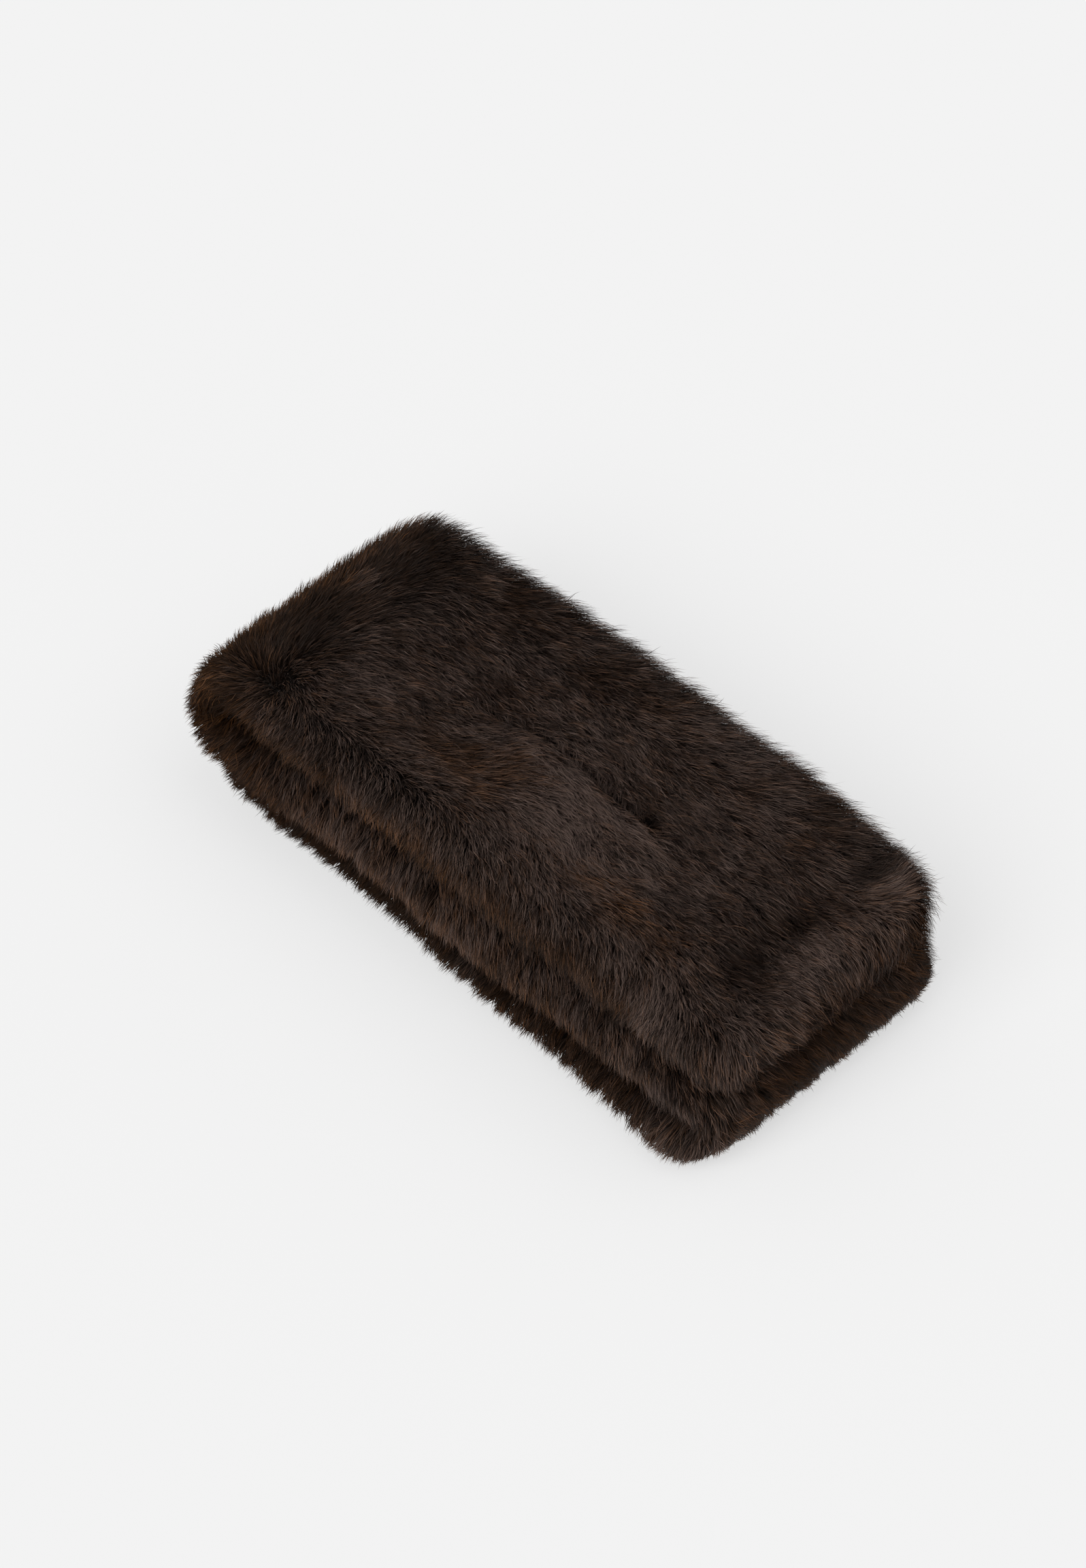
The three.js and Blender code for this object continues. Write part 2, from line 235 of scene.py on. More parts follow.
# Where a layer is lighter or darker, and warmer or greyer: middle, reach, lightness, warmth. Most of the
# lightness is painted light. Lighter, greyer spots are painted sheen and highlights on the hump and lip
# beside the slit and on lit ridges and tufts. Darker spots are painted shade in the slit, in the partings
# near the free end, at the left end, in the folds and on the bottom layer. The other changes of warmth,
# and the rest of the lightness, are the pile's own patchy tone.
TONE_AND_PAINTED_LIGHT_SPOTS = {
    "top": [
        ((0.019, -0.030), (0.031, 0.020), 0.66, -0.28),
        ((0.012, -0.010), (0.040, 0.004), 0.55, -0.12),
        ((0.038, -0.011), (0.014, 0.005), 0.30, -0.08),
        ((0.032, -0.001), (0.018, 0.003), -0.34, 0.00),
        ((0.050, -0.056), (0.044, 0.008), 0.22, -0.08),
        ((0.100, -0.050), (0.018, 0.010), 0.22, -0.02),
        ((0.030, 0.020), (0.048, 0.020), 0.12, -0.02),
        ((0.140, 0.006), (0.008, 0.032), 0.50, -0.10),
        ((0.145, -0.030), (0.009, 0.014), -0.12, 0.00),
        ((0.161, -0.020), (0.009, 0.060), 0.04, 0.10),
        ((0.147, 0.044), (0.013, 0.012), 0.40, -0.12),
        ((0.146, -0.068), (0.022, 0.018), 0.06, -0.02),
        ((0.121, -0.030), (0.010, 0.012), -0.44, 0.10),
        ((0.123, -0.004), (0.008, 0.022), -0.34, 0.06),
        ((0.126, 0.048), (0.013, 0.011), -0.62, 0.14),
        ((-0.040, -0.041), (0.022, 0.010), 0.04, 0.34),
        ((-0.020, -0.026), (0.022, 0.010), 0.06, 0.30),
        ((-0.134, -0.071), (0.011, 0.009), -0.42, 0.20),
        ((0.062, -0.042), (0.036, 0.008), 0.04, 0.40),
        ((-0.122, -0.058), (0.016, 0.012), 0.20, 0.0),
        ((-0.138, -0.030), (0.014, 0.022), -0.74, 0.20),
        ((-0.130, 0.030), (0.016, 0.026), -0.52, 0.10),
        ((-0.092, 0.050), (0.044, 0.022), -0.20, 0.10),
        ((-0.168, -0.010), (0.024, 0.090), 0.06, 1.00),
        ((-0.136, -0.082), (0.022, 0.010), -0.26, 0.50),
        ((-0.040, -0.076), (0.050, 0.014), 0.12, 0.10),
        ((0.116, -0.060), (0.016, 0.010), 0.18, -0.05),
        ((0.084, -0.081), (0.036, 0.010), -0.16, 0.08),
    ],
    "middle": [
        ((-0.160, 0.000), (0.036, 0.120), -0.56, 0.80),
        ((-0.070, -0.083), (0.040, 0.030), 0.22, -0.05),
        ((-0.112, -0.083), (0.020, 0.030), -0.22, 0.20),
        ((0.000, -0.083), (0.024, 0.030), 0.22, -0.02),
        ((0.166, 0.000), (0.026, 0.120), -0.62, 0.34),
        ((0.126, -0.082), (0.030, 0.014), 0.16, -0.24),
    ],
    "bottom": [
        ((-0.080, 0.000), (0.090, 0.120), -0.50, 0.20),
        ((0.166, 0.000), (0.026, 0.120), -0.20, 0.30),
        ((0.150, -0.080), (0.020, 0.018), 0.66, -0.48),
    ],
}
# How light and how warm each layer is on the whole, and what changes under its roll, from its shoulder
# down and on the far side. All three layers are the same fur, so the lighter middle and the darker bottom
# are painted light and shade, and under its roll each layer is darkened by painted shade. Under the roll
# and towards the right end, a side is less warm by a share.
LAYER_TONES = {"top": (0.56, 0.15), "middle": (0.68, 0.26), "bottom": (0.36, 0.46)}
UNDER_ROLL_PAINTED_SHADES = {"top": -0.64, "middle": -0.18, "bottom": -0.10}
SIDE_WARMTH = {"top": 0.50, "middle": 0.30, "bottom": 0.32}
FAR_SIDE_WARMTH = 0.40
UNDER_ROLL_CUT = 0.5
RIGHT_END_CUT = 0.7

# The fur pieces: the stretch that they grow on, and how many strands of how many joints.
COATS = {
    "top_undercoat": {"stretch": "top", "coat": "under", "strands": 64500, "joints": 3, "seed": 11},
    "top_guard_hair": {"stretch": "top", "coat": "guard", "strands": 39000, "joints": 4, "seed": 12},
    "top_fine_hair": {"stretch": "top", "coat": "fine", "strands": 64500, "joints": 3, "seed": 13},
    "middle_pile": {"stretch": "middle", "coat": "mixed", "strands": 61000, "joints": 3, "seed": 14},
    "bottom_pile": {"stretch": "bottom", "coat": "mixed", "strands": 61000, "joints": 3, "seed": 15},
}
# Each coat: length and width of a strand, how high it stands, how strongly locks draw together and how
# large a lock is.
COAT_KINDS = {
    "under": {"length": 0.0105, "width": 0.00042, "stand": 0.78, "pull": 0.26, "lock": 0.0042},
    "guard": {"length": 0.0155, "width": 0.00028, "stand": 1.12, "pull": 0.36, "lock": 0.0065},
    "fine": {"length": 0.0125, "width": 0.00029, "stand": 1.02, "pull": 0.46, "lock": 0.0036},
    "mixed": {"length": 0.0122, "width": 0.00034, "stand": 1.04, "pull": 0.42, "lock": 0.0044},
}
# How single strands vary. The power keeps wildness to a few.
LENGTH_RANGE = (0.75, 1.25)
STAND_RANGE = (0.75, 1.15)
ROLL_RANGE = (-0.9, 0.9)
WILDNESS_RANGE = (0.34, 1.64)
WILDNESS_POWER = 9.0
PARTED_RANGE = (0.25, 1.0)  # the share of length from where the comb parts to where it is even
# How the pull into a lock, the bend and the taper change along a strand.
PULL_POWER = 1.4
BEND_POWER = 1.7
TAPER_POWER = 3.0
ROOT_WIDTH = 1.1
FLOOR_CLEARANCE = 0.0004
# The noise that turns the comb and that shades the pile in patches.
DRIFT_SCALE = 70.0
DRIFT_STRENGTH = 3.0
PATCH_SCALE = 45.0
# How widely the pile strays in lightness and warmth: by patch, by lock and by strand.
STRAYING = {"light": (0.70, 0.44, 0.80), "warm": (-0.80, 0.30, 0.50)}
# A strand runs up a column of its texture, which gives its tone and its warmth, each in steps.
TONE_STEPS = 12
WARMTH_STEPS = 6
COLUMN_RUN = (0.03, 0.97)
BELOW_ONE = 0.999
# The darkening towards a strand's root is painted shade deep in the pile.
ROOT_PAINTED_SHADE_POWER = 1.6  # how slowly a strand lightens from its root
# The matted fibres of the cloth: their scale, and by place in the noise their share of the warm colour.
FIBRE_SCALE = (260.0, 1100.0, 1100.0)
FIBRE_SHADES = ((0.3, 0.05), (0.7, 0.25))

# The photograph's view, and the image that it is framed in.
VIEW_AZIMUTH = math.radians(45.1)
VIEW_ELEVATION = math.radians(48.8)
VIEW_DISTANCE = 2.8
PIXELS_PER_METRE = 3405
IMAGE_WIDTH = 1596
VIEW_CENTRE = (0.0, 0.0, 0.0425)
CENTRE_IN_IMAGE = (41, 51)  # how many pixels right of and below the image's middle that point lies
SENSOR_WIDTH = 36.0
CAMERA_FAR = 50.0
# How far the floor lies under the wrap.
FLOOR_GAP = 0.0002

# The wide lights: where each comes from, how wide it is in degrees and its share of the key light.
LIGHTS = (
    ("key_light", (0.15, -1.0, 1.0), 45, 1.0),
    ("edge_light", (0.5, 0.3, 1.2), 60, 0.38),
)


def smooth_step(low, high, value):
    """0 below low, 1 above high, and smooth between them."""
    t = np.clip((value - low) / (high - low), 0, 1)
    return t * t * (3 - 2 * t)


def fade(name, value):
    """How far one of the changes has set in at a value, from 0 to 1."""
    return smooth_step(*FADES[name], value)


def wave(name, x):
    """The height of one of the slow waves at x."""
    return sum(h * np.sin(2 * np.pi * x / period + phase) for h, period, phase in WAVERS[name])


def seam_height(name, x):
    """The height of the surface in which two layers meet."""
    layers = {"lower_seam": ("bottom",), "upper_seam": ("bottom", "middle")}[name]
    rise = SEAM_RISE[name] * fade("seam_rise", x)
    return sum(THICKNESS[layer] for layer in layers) + wave(name, x) + rise


def layer_bounds(layer, x):
    """The lowest and highest surface of a layer at x, over the tips of the pile."""
    if layer == "bottom":
        return 0.0, seam_height("lower_seam", x) - SEAM_GAP / 2
    if layer == "middle":
        return seam_height("lower_seam", x) + SEAM_GAP / 2, seam_height("upper_seam", x) - SEAM_GAP / 2
    into_end = max(0.0, (x - RIGHT_TURN) / (FREE_END["top"] - RIGHT_TURN))
    sag = TOP_END_SAG * into_end**2
    top = sum(THICKNESS.values()) + wave("top", x)
    return seam_height("upper_seam", x) + SEAM_GAP / 2 - sag, top - sag


def layer_edges(layer, x):
    """Where the near and far long edges of a layer lie at x."""
    share = (x + FOLDED_LENGTH / 2) / FOLDED_LENGTH
    near_left, near_right = EDGES[layer]["near"]
    far_left, far_right = EDGES[layer]["far"]
    near = near_left + (near_right - near_left) * share - wave("edge", x)
    far = far_left + (far_right - far_left) * share + wave("edge", x + FOLDED_LENGTH / 5)
    half_way = 4 * share * (1 - share)
    near += BULGES.get((layer, "near"), 0.0) * half_way
    far += BULGES.get((layer, "far"), 0.0) * half_way
    return near, far


def away_from_line(x, y, line):
    """How far points lie from a straight line between two points."""
    x0, y0, x1, y1 = line
    run_x, run_y = x1 - x0, y1 - y0
    share = np.clip(((x - x0) * run_x + (y - y0) * run_y) / (run_x**2 + run_y**2), 0, 1)
    return np.hypot(x - x0 - run_x * share, y - y0 - run_y * share)


def face_lift(x, y):
    """How much the face on top stands above its even height."""
    far, near = EDGES["top"]["far"][0], EDGES["top"]["near"][0]
    lift = CROWN * np.cos(np.pi * y / (far - near))
    for form in FACE_FORMS.values():
        x0, y0, x1, y1 = form["line"]
        past = y > y0 + (y1 - y0) * (x - x0) / (x1 - x0)
        spread = np.where(past, form.get("far_spread", form["spread"]), form["spread"])
        lift = lift + form["height"] * np.exp(-((away_from_line(x, y, form["line"]) / spread) ** 2))
    return lift


def slanted(x, y):
    """Where a point y across the strip lies along X, with the slant of the ends."""
    slant = np.where(x < 0, LEFT_SLANT, -RIGHT_SLANT)
    return x + slant * y / EDGES["top"]["far"][1] * (x / (FOLDED_LENGTH / 2)) ** 2


def ring_shape(layer):
    """The places round a ring: share across from the near to the far flat edge, swing out to a side, rise."""
    steps = CLOTH_STEPS[layer]
    across = np.linspace(1, 0, steps["across"] + 1)
    if layer == "top":
        near, far = layer_edges("top", (SLIT_LINE[0] + SLIT_LINE[2]) / 2)
        flat = far - near - 2 * SIDE_ROUND
        start = near + SIDE_ROUND
        slit = (SLIT_LINE[1] + np.array(SLIT_STEPS) - start) / flat
        outside = np.abs(across - (SLIT_LINE[1] - start) / flat) > (SLIT_STEPS[-1] + SLIT_MARGIN) / flat
        across = np.sort(np.concatenate([across[outside], slit]))[::-1]
    under = np.linspace(0, 1, steps["under"] + 1)
    angle = np.linspace(np.pi / 2, -np.pi / 2, SIDE_STEPS + 1)[1:-1]
    fallen = 0.5 - angle / np.pi
    quarters = (
        {"span": across, "swing": 0, "rise": 1, "quarter": 1 - across},
        {"span": 0, "swing": -np.cos(angle), "rise": np.sin(angle), "quarter": 1 + fallen},
        {"span": under, "swing": 0, "rise": -1, "quarter": 2 + under},
        {"span": 1, "swing": np.cos(angle), "rise": np.sin(angle[::-1]), "quarter": 3 + fallen},
    )
    return {
        name: np.concatenate([np.broadcast_to(part[name], len(part["quarter"])) for part in quarters])
        for name in quarters[0]
    }


def level_station(layer, x, inset, shrink=1.0, plan_x=None):
    """A ring across a level stretch. inset is how far inside the pile's tips it lies: up, side, down.

    On the nose of a free end, shrink is its share of the height, and plan_x is where its corners count it.
    """
    low, high = layer_bounds(layer, x)
    near, far = layer_edges(layer, x)
    if layer in FREE_END:
        to_end = abs(FREE_END[layer] - (x if plan_x is None else plan_x))
        drawn_in = {}
        for edge, corner in END_CORNERS[layer].items():
            into = max(0.0, corner - to_end)
            drawn_in[edge] = corner - math.sqrt(corner**2 - into**2)
        near, far = near + drawn_in["near"], far - drawn_in["far"]
    up, _, down = inset
    half = (high - low) / 2
    middle = (low + high) / 2
    on_top = layer == "top"
    thinning = END_THINNING * smooth_step(RIGHT_TURN - THINNING_START, FREE_END["top"], x) * on_top
    past_corner = near / 3
    return {
        "near": near,
        "far": far,
        "up": (half - up) * shrink,
        "down": (half - down) * shrink,
        "lift": lambda y: face_lift(x, y) * shrink * on_top,
        "thinned": lambda y: 1 - thinning * smooth_step(near, past_corner, y),
        "place": lambda y, n: np.stack([slanted(np.full_like(y, x), y), y, middle + n], axis=-1),
        "kind": "level" if shrink == 1.0 else "nose",
    }


def nose_stations(layer, way, inset):
    """The rings that round a free end off, from the level run outwards."""
    side = inset[1]
    half = THICKNESS[layer] / 2
    widest = math.acos(NOSE_EDGE / 2 / half)
    rows = []
    for step in range(1, NOSE_STEPS + 1):
        angle = widest * step / NOSE_STEPS
        x = FREE_END[layer] - way * (side + (half - side) * (1 - math.sin(angle)))
        plan_x = FREE_END[layer] - way * (half * (1 - math.sin(angle)))
        rows.append(level_station(layer, x, inset, math.cos(angle), plan_x))
    return rows


def turn_stations(end, side, inset, overlap):
    """The rings from a level stretch half way round a turn. side is 1 for its upper half, -1 for its lower.

    overlap is how many rings run on past the middle, for strands from here to lie on.
    """
    turn = TURNS[end]
    x, way = turn["x"], turn["way"]
    layer = turn["above"] if side > 0 else turn["below"]
    low, high = layer_bounds(layer, x)
    own = high - low
    outermost = (layer_bounds(turn["above"], x)[1] - layer_bounds(turn["below"], x)[0] - SEAM_GAP) / 2
    axis = seam_height(turn["seam"], x) + side * SEAM_GAP / 2
    near, far = layer_edges(layer, x)
    upper, lower = layer_edges(turn["above"], x), layer_edges(turn["below"], x)
    corners = TURN_CORNERS[end]
    pinch = PINCH if (end, side) == ("right", 1) else 1.0
    up, _, down = inset
    rows = []
    for step in range(1, TURN_STEPS + 1 + overlap):
        angle = math.pi / 2 * (1 - step / TURN_STEPS)
        share = math.cos(angle) ** 2
        outer = own + (outermost - own) * share
        inner = TURN_EYE * share

        def place(y, n, radius=(outer + inner) / 2, angle=angle):
            out = radius + side * n
            along = x + way * TURN_REACH * out * math.cos(angle) ** pinch
            return np.stack([slanted(along, y), y, axis + side * out * math.sin(angle)], axis=-1)

        lift_share = 1 - share if layer == "top" else 0.0
        rows.append(
            {
                "near": near + ((upper[0] + lower[0]) / 2 - near) * share + corners["near"] * share,
                "far": far + ((upper[1] + lower[1]) / 2 - far) * share - corners["far"] * share,
                "up": (outer - inner) / 2 - up,
                "down": (outer - inner) / 2 - down,
                "lift": lambda y, lift_share=lift_share: face_lift(x, y) * lift_share,
                "thinned": lambda y: 1.0,
                "place": place,
                "kind": end + "_turn" if step <= TURN_STEPS else "overlap",
            }
        )
    return rows


def end_stations(layer, end, inset, overlap):
    """The rings at one end of a stretch, from the level run outwards."""
    form = STRETCHES[layer][end]
    if form == "free":
        return nose_stations(layer, -1 if end == "left" else 1, inset)
    return turn_stations(end, 1 if form == "upper" else -1, inset, overlap)


def stations_of(layer, inset, overlap=0):
    """All rings of a stretch, from left to right."""
    ends = STRETCHES[layer]
    left, right = (end_stations(layer, end, inset, overlap) for end in ("left", "right"))
    start = FREE_END[layer] + THICKNESS[layer] / 2 if ends["left"] == "free" else LEFT_TURN
    stop = FREE_END[layer] - THICKNESS[layer] / 2 if ends["right"] == "free" else RIGHT_TURN
    count = math.ceil((stop - start) / CLOTH_STEPS[layer]["spacing"])
    level = [level_station(layer, x, inset) for x in np.linspace(start, stop, count + 1)]
    return left[::-1] + level + right


def grid_of(layer, inset=(0.0, 0.0, 0.0), overlap=0):
    """The points of a stretch, as an array of ring, place on the ring and coordinate."""
    ring = ring_shape(layer)
    rows = []
    for station in stations_of(layer, inset, overlap):
        flat_near, flat_far = station["near"] + SIDE_ROUND, station["far"] - SIDE_ROUND
        y = flat_near + (flat_far - flat_near) * ring["span"] + (SIDE_ROUND - inset[1]) * ring["swing"]
        half = np.where(ring["rise"] > 0, station["up"], station["down"] * station["thinned"](y))
        n = half * ring["rise"] + station["lift"](y) * np.maximum(0, ring["rise"])
        rows.append(station["place"](y, n))
    return np.array(rows)


def middle_of_outline():
    """Where the middle of the whole outline lies, which is over the frame's origin."""
    points = np.concatenate([grid_of(layer).reshape(-1, 3) for layer in STRETCHES])
    middle = (points.min(axis=0) + points.max(axis=0)) / 2
    middle[2] = 0
    return middle


def unit(vectors):
    """Vectors made one long."""
    return vectors / np.maximum(np.linalg.norm(vectors, axis=-1, keepdims=True), 1e-9)


def normals_of(grid):
    """Outward normals of a grid of rings."""
    along = np.gradient(grid, axis=0)
    around = (np.roll(grid, -1, axis=1) - np.roll(grid, 1, axis=1)) / 2
    return unit(np.cross(around, along))


def comb_of(layer, grid, normals, ring):
    """The way that the pile lies at each point, along the surface: shorter than 1 where it parts."""
    rows = COMB_ROWS[layer]
    turned = np.radians(list(rows.values()))
    swirl = np.zeros(grid.shape[:2])
    for (x, y), reach, degrees in WHORLS if layer == "top" else ():
        away = np.hypot(grid[..., 0] - x, grid[..., 1] - y) / reach
        swirl += np.radians(degrees) * np.exp(-(away**2)) * (normals[..., 2] > WHORL_LOWEST)
    parts = []
    for part in (np.cos, np.sin):
        table = np.array([np.interp(ring["quarter"], COMB_PLACES, row, period=4) for row in part(turned)])
        columns = [np.interp(grid[:, k, 0], list(rows), table[:, k]) for k in range(grid.shape[1])]
        parts.append(np.stack(columns, axis=1)[..., None])
    along = np.gradient(grid, axis=0)
    along = unit(along - normals * np.sum(along * normals, axis=-1, keepdims=True))
    over = np.cross(normals, along)
    cos, sin = np.cos(swirl)[..., None], np.sin(swirl)[..., None]
    return along * (parts[0] * cos - parts[1] * sin) + over * (parts[0] * sin + parts[1] * cos)


def ring_mask(kinds, wanted):
    """1 for each ring of a wanted kind and 0 for the others, to multiply a grid by."""
    return np.array([kind in wanted for kind in kinds], float)[:, None]


def cover_of(layer, grid, ring, kinds):
    """How densely the pile grows at each point: thin where the layers hide it, bare where the slit opens."""
    width = EDGES[layer]["far"][0] - EDGES[layer]["near"][0] - 2 * SIDE_ROUND
    from_roll = np.minimum(ring["span"], 1 - ring["span"]) * width
    fringe = np.clip(1 - from_roll / HIDDEN_FRINGE, 0, 1)
    cover = np.ones(grid.shape[:2])
    for side, rise in (("upper", 1), ("under", -1)):
        shown = ring_mask(kinds, SHOWN_ON[layer][side])
        least = LEAST_COVER.get((layer, side), 0.0)
        cover = np.where(ring["rise"] == rise, np.maximum(np.maximum(shown, fringe), least), cover)
    if layer == "top":
        away = away_from_line(grid[..., 0], grid[..., 1], SLIT_LINE)
        bared = fade("slit_bared", grid[..., 0]) * fade("bared_edge", away)
        cover = np.where(ring["rise"] == 1, cover * (1 - bared), cover)
    return cover * (1 - ring_mask(kinds, ("overlap",)))


def length_of(layer, grid, ring, kinds):
    """How long the strands are at each point, as a share of their coat's length."""
    x, y, z = np.moveaxis(grid, -1, 0)
    on_top = layer == "top"
    near_slit = np.exp(-((away_from_line(x, y, SLIT_LINE) / SLIT_TRIM_REACH) ** 2)) * on_top
    near_slit = near_slit * (ring["rise"] == 1) * fade("slit_trim", x)
    places = {
        "slit": near_slit * np.where(y > SLIT_LINE[1], 1.0, SLIT_NEAR_SHARE),
        "left_swirl": fade("left_swirl", x) * on_top,
        "left_turn": ring_mask(kinds, ("left_turn",)),
        "floor": fade("floor", z),
        "far_side": fade("far_side_trim", ring["swing"]),
    }
    length = 1.0
    for name, there in places.items():
        length = length * (1 - TRIMS[name] * there)
    return length


def tones_of(layer, grid, normals, ring):
    """How light and how warm the pile is at each point, with painted sheen, highlights and shade in its
    lightness.
    """
    x, y, _ = np.moveaxis(grid, -1, 0)
    light, warm = (np.full(x.shape, value) for value in LAYER_TONES[layer])
    # The spots: partly the pile's own tone, mostly painted sheen, highlights and shade.
    for (spot_x, spot_y), (reach_x, reach_y), lighter, warmer in TONE_AND_PAINTED_LIGHT_SPOTS[layer]:
        share = np.exp(-(((x - spot_x) / reach_x) ** 2) - ((y - spot_y) / reach_y) ** 2)
        light = light + lighter * share
        warm = warm + warmer * share
    under_roll = fade("under_roll", normals[..., 2])
    on_side = fade("shoulder", normals[..., 2]) * (1 - UNDER_ROLL_CUT * under_roll)
    on_side = on_side * (1 - RIGHT_END_CUT * fade("right_end", x))
    # Painted shade under the roll of each layer.
    light = light + UNDER_ROLL_PAINTED_SHADES[layer] * under_roll
    warm = warm + SIDE_WARMTH[layer] * on_side + FAR_SIDE_WARMTH * fade("far_side_warmth", ring["swing"])
    return light, warm


def mesh_of(name, layer, grid):
    """A mesh of a stretch's rings in the frame's place, closed round, with a fan over a free end."""
    rings, around, _ = grid.shape
    points = (grid - middle_of_outline()).reshape(-1, 3).tolist()
    faces = []
    for r in range(rings - 1):
        for i in range(around):
            j = (i + 1) % around
            faces.append((r * around + i, r * around + j, (r + 1) * around + j, (r + 1) * around + i))
    for end, start in (("left", 0), ("right", (rings - 1) * around)):
        if STRETCHES[layer][end] != "free":
            continue
        centre = len(points)
        points.append(np.mean(points[start : start + around], axis=0).tolist())
        for i in range(around):
            a, b = start + i, start + (i + 1) % around
            faces.append((centre, b, a) if end == "left" else (centre, a, b))
    mesh = bpy.data.meshes.new(name)
    mesh.from_pydata(points, [], faces)
    mesh.shade_smooth()
    mesh.update()
    return mesh


def add_attribute(mesh, name, values):
    """Stores a number or a vector for each point of a mesh. Points past the grid are its end caps."""
    width = 3 if values.ndim == 3 else 1
    flat = values.astype(np.float32).reshape(-1, width)
    flat = np.concatenate([flat, np.repeat(flat[-1:], len(mesh.vertices) - len(flat), axis=0)])
    attribute = mesh.attributes.new(name, "FLOAT_VECTOR" if width == 3 else "FLOAT", "POINT")
    attribute.data.foreach_set("vector" if width == 3 else "value", flat.ravel())


def link_object(name, data):
    """A new object in the scene."""
    piece = bpy.data.objects.new(name, data)
    bpy.context.scene.collection.objects.link(piece)
    return piece


def link_aimed(name, data, place, back):
    """A light or a camera at a place, with its back turned to a direction."""
    holder = link_object(name, data)
    holder.location = place
    holder.rotation_euler = Vector(back).to_track_quat("Z", "Y").to_euler()
    return holder


def settled(piece):
    """Turns what a piece's modifiers make into its own plain mesh."""
    evaluated = piece.evaluated_get(bpy.context.evaluated_depsgraph_get())
    mesh = bpy.data.meshes.new_from_object(evaluated)
    piece.modifiers.clear()
    old = piece.data
    piece.data = mesh
    mesh.name = old.name
    bpy.data.meshes.remove(old)


def root_grid(layer, settings, overlap=0):
    """The surface that the pile grows from, inside the tips of the pile."""
    shown, hidden = settings.pile_depth, settings.hidden_depth
    inset = {
        "top": (shown, shown, hidden),
        "middle": (hidden, shown, hidden),
        "bottom": (hidden, shown, settings.floor_depth),
    }[layer]
    grid = grid_of(layer, inset, overlap)
    if layer == "top":
        away = away_from_line(grid[..., 0], grid[..., 1], SLIT_LINE)
        cleft = SLIT_DEPTH * fade("slit_cleft", grid[..., 0]) * np.exp(-((away / SLIT_SPREAD) ** 2))
        grid[..., 2] -= np.where(ring_shape(layer)["rise"] == 1, cleft, 0)
    return grid


def growing_surface(layer, settings):
    """The root surface as a mesh that carries what each strand needs to know of its place."""
    tips = grid_of(layer, overlap=TURN_OVERLAP)
    roots = root_grid(layer, settings, TURN_OVERLAP)
    normals = normals_of(tips)
    ring = ring_shape(layer)
    kinds = [station["kind"] for station in stations_of(layer, (0.0, 0.0, 0.0), TURN_OVERLAP)]
    light, warm = tones_of(layer, tips, normals, ring)
    carried = {
        "rise": tips - roots,
        "comb": comb_of(layer, tips, normals, ring),
        "cover": cover_of(layer, tips, ring, kinds),
        "long": length_of(layer, tips, ring, kinds),
        "light": light,
        "warm": warm,
    }
    mesh = mesh_of(layer + "_roots", layer, roots)
    for name, values in carried.items():
        add_attribute(mesh, name, values)
    return mesh


def covered_area(mesh):
    """The area that the pile grows on, weighed by how densely it grows."""
    cover = mesh.attributes["cover"].data
    return sum(p.area * sum(cover[v].value for v in p.vertices) / len(p.vertices) for p in mesh.polygons)


class Wiring:
    """Adds nodes to a tree and joins them, so that a formula reads in a line."""

    def __init__(self, tree):
        self.tree = tree

    def node(self, kind, inputs=None, **settings):
        made = self.tree.nodes.new(kind)
        for name, value in settings.items():
            setattr(made, name, value)
        for key, value in (inputs or {}).items():
            self.join(value, made.inputs[key])
        return made

    def join(self, value, socket):
        if isinstance(value, bpy.types.NodeSocket):
            self.tree.links.new(value, socket)
        else:
            socket.default_value = value

    def number(self, operation, *values):
        return self.node("ShaderNodeMath", dict(enumerate(values)), operation=operation).outputs[0]

    def times(self, *values):
        return reduce(lambda a, b: self.number("MULTIPLY", a, b), values)

    def plus(self, a, b):
        return self.number("ADD", a, b)

    def power(self, base, exponent):
        return self.number("POWER", base, exponent)

    def between(self, share, low, high):
        """A number that runs from low to high as a share runs from 0 to 1."""
        return self.number("MULTIPLY_ADD", share, high - low, low)

    def vector(self, operation, *values):
        made = self.node("ShaderNodeVectorMath", dict(enumerate(values)), operation=operation)
        return made.outputs["Value" if operation == "LENGTH" else "Vector"]

    def scaled(self, vector, scale):
        return self.node("ShaderNodeVectorMath", {0: vector, 3: scale}, operation="SCALE").outputs[0]

    def centred(self, chances):
        """A vector of shares from 0 to 1, moved to lie round nought."""
        return self.vector("SUBTRACT", chances, (0.5, 0.5, 0.5))

    def total(self, *vectors):
        return reduce(lambda a, b: self.vector("ADD", a, b), vectors)

    def read(self, name, kind="FLOAT"):
        return self.node("GeometryNodeInputNamedAttribute", {"Name": name}, data_type=kind).outputs[0]

    def store(self, geometry, name, value, kind="FLOAT", domain="POINT"):
        inputs = {"Geometry": geometry, "Name": name, "Value": value}
        made = self.node("GeometryNodeStoreNamedAttribute", inputs, data_type=kind, domain=domain)
        return made.outputs[0]

    def parts(self, vector):
        return self.node("ShaderNodeSeparateXYZ", {0: vector}).outputs


# The tree's inputs, by kind.
PILE_INPUTS = {
    "Float": (
        "Strands per square metre",
        "Strand length",
        "Strand width",
        "Stand",
        "Lock size",
        "Lock pull",
        "Waywardness",
        "Lock waywardness",
        "Cling",
    ),
    "Int": ("Joints", "Seed"),
    "Material": ("Fur",),
}
# What strands carry while they grow. None of it is left on the finished piece.
CARRIED = ("root", "rise", "comb", "cover", "long", "light", "warm", "chance", "whim", "along", "across")
CHANCE_SEED = 100.0
NEAR_TIP = 0.499
MERGE_DISTANCE = 0.01


